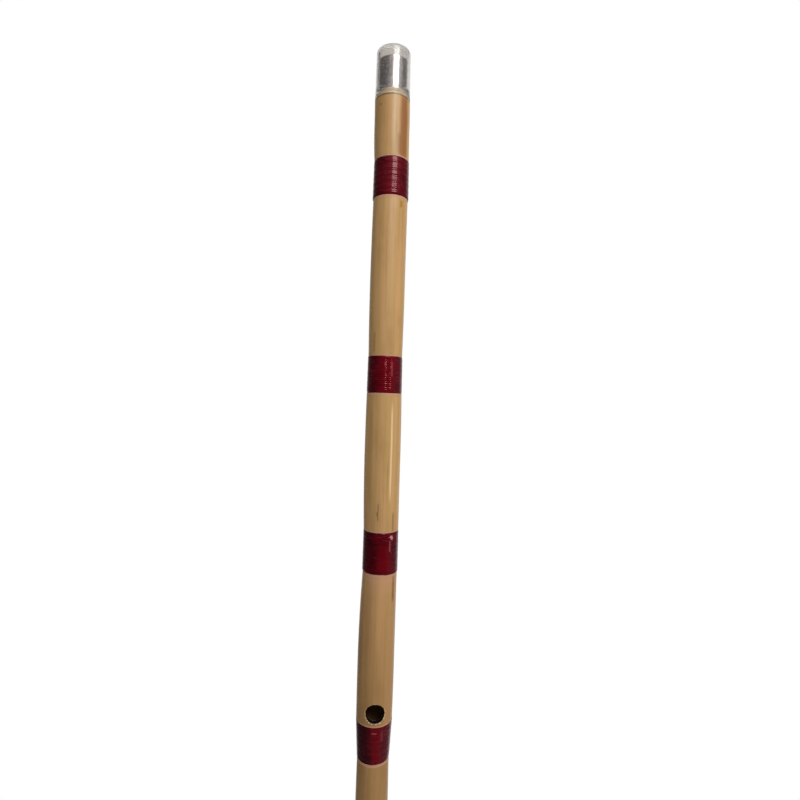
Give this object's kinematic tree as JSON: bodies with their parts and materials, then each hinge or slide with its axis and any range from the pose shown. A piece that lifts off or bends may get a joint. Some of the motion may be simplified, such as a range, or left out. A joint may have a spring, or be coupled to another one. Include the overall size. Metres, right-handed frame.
{
  "type": "ney flute",
  "caption": "End-blown reed flute with thread-bound nodes, a thumb hole, front finger holes, a metal mouthpiece tube and a clear push-on cap.",
  "frame": {"origin": "centre of the bore at the foot's end face", "axes": "+Z from the foot along the bore to the mouthpiece; -Y towards the thumb hole; +Y towards the front finger holes; +X to the right of someone who looks at the thumb hole"},
  "size_m": [0.0223, 0.0218, 0.646],
  "materials": {
    "cane": "oiled satin",
    "mouthpiece_metal": "polished",
    "clear_cap": "clear moulded",
    "binding_core": "lacquered",
    "binding_thread": "lacquered gloss"
  },
  "bodies": {
    "flute": {"reed_tube": "cane", "mouthpiece_tube": "mouthpiece_metal", "binding_core_1": "binding_core", "binding_core_2": "binding_core", "binding_core_3": "binding_core", "binding_core_4": "binding_core", "binding_core_5": "binding_core", "binding_core_6": "binding_core", "binding_thread_1": "binding_thread", "binding_thread_2": "binding_thread", "binding_thread_3": "binding_thread", "binding_thread_4": "binding_thread", "binding_thread_5": "binding_thread", "binding_thread_6": "binding_thread"},
    "cap": {"mouthpiece_cap": "clear_cap"}
  },
  "joints": [
    {"name": "cap_slide", "type": "slide", "parent": "flute", "child": "cap", "axis": [0, 0, 1], "range_m": [0, 0.035]}
  ]
}
